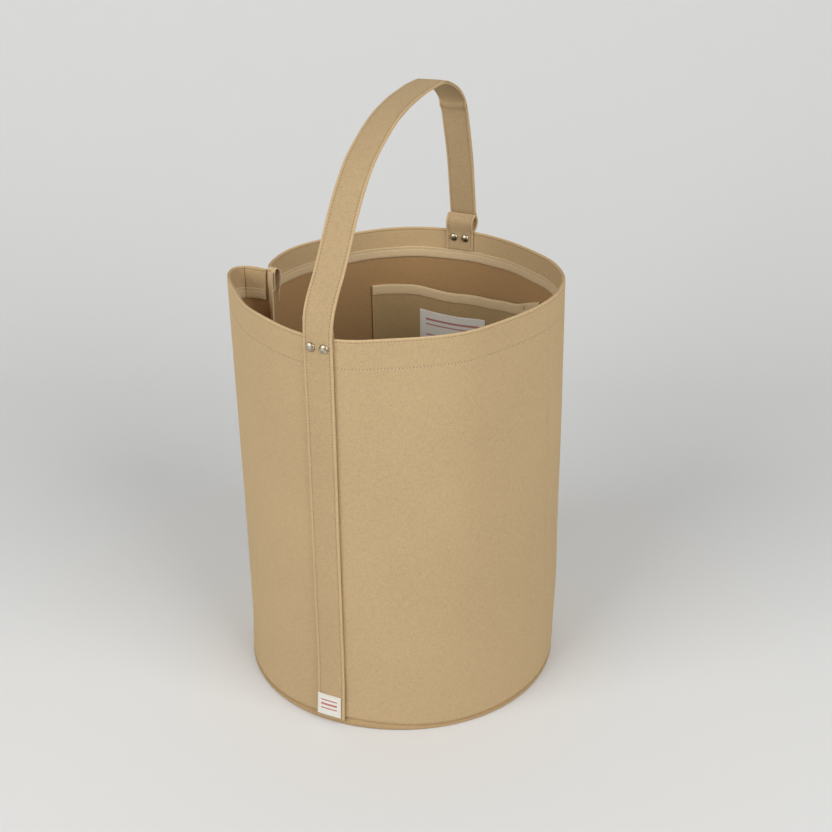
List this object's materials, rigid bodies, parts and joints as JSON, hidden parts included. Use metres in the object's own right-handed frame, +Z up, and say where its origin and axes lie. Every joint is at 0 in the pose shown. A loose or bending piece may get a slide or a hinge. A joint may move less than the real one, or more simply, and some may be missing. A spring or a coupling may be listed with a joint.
{
  "type": "bucket bag",
  "caption": "Round canvas bucket bag with an open top, one carry handle that swings across the mouth, riveted tabs, bound inner seams and an inside patch pocket.",
  "frame": {"origin": "centre of the base's underside", "axes": "+Z up to the mouth and handle; the front strap is on -Y, the back strap on +Y, the side seams on -X and +X"},
  "size_m": [0.326, 0.3547, 0.5896],
  "materials": {
    "canvas": "heavy plain-weave cotton canvas, khaki, matt",
    "strap_canvas": "folded and edge-stitched canvas strap, khaki, matt",
    "pocket_canvas": "single layer of canvas, khaki, matt",
    "binding_tape": "cotton twill binding tape, pale tan, matt",
    "label_cloth": "woven cotton label, off-white",
    "rivet_metal": "antiqued double-cap rivet, satin"
  },
  "bodies": {
    "bag": {"body_panel_front": "canvas", "body_panel_back": "canvas", "facing_long": "canvas", "facing_short": "canvas", "facing_tape_long": "binding_tape", "facing_tape_short": "binding_tape", "base_panel": "canvas", "base_lining": "canvas", "base_seam_tape": "binding_tape", "left_seam_tape": "binding_tape", "right_seam_tape": "binding_tape", "front_strap_inner_ply": "strap_canvas", "front_strap_outer_ply": "strap_canvas", "front_tab": "strap_canvas", "back_strap_inner_ply": "strap_canvas", "back_strap_outer_ply": "strap_canvas", "back_tab": "strap_canvas", "rivet_cap_front_left": "rivet_metal", "rivet_base_front_left": "rivet_metal", "rivet_cap_front_right": "rivet_metal", "rivet_base_front_right": "rivet_metal", "rivet_cap_back_left": "rivet_metal", "rivet_base_back_left": "rivet_metal", "rivet_cap_back_right": "rivet_metal", "rivet_base_back_right": "rivet_metal", "pocket_panel": "pocket_canvas", "pocket_mouth_tape": "binding_tape", "pocket_label": "label_cloth", "strap_label": "label_cloth"},
    "handle": {"handle_inner_ply": "strap_canvas", "handle_outer_ply": "strap_canvas"}
  },
  "joints": [
    {"name": "handle_swing", "type": "hinge", "parent": "bag", "child": "handle", "pos_m": [0, 0, 0.436], "axis": [0, 1, 0], "range_deg": [-90, 90]}
  ]
}
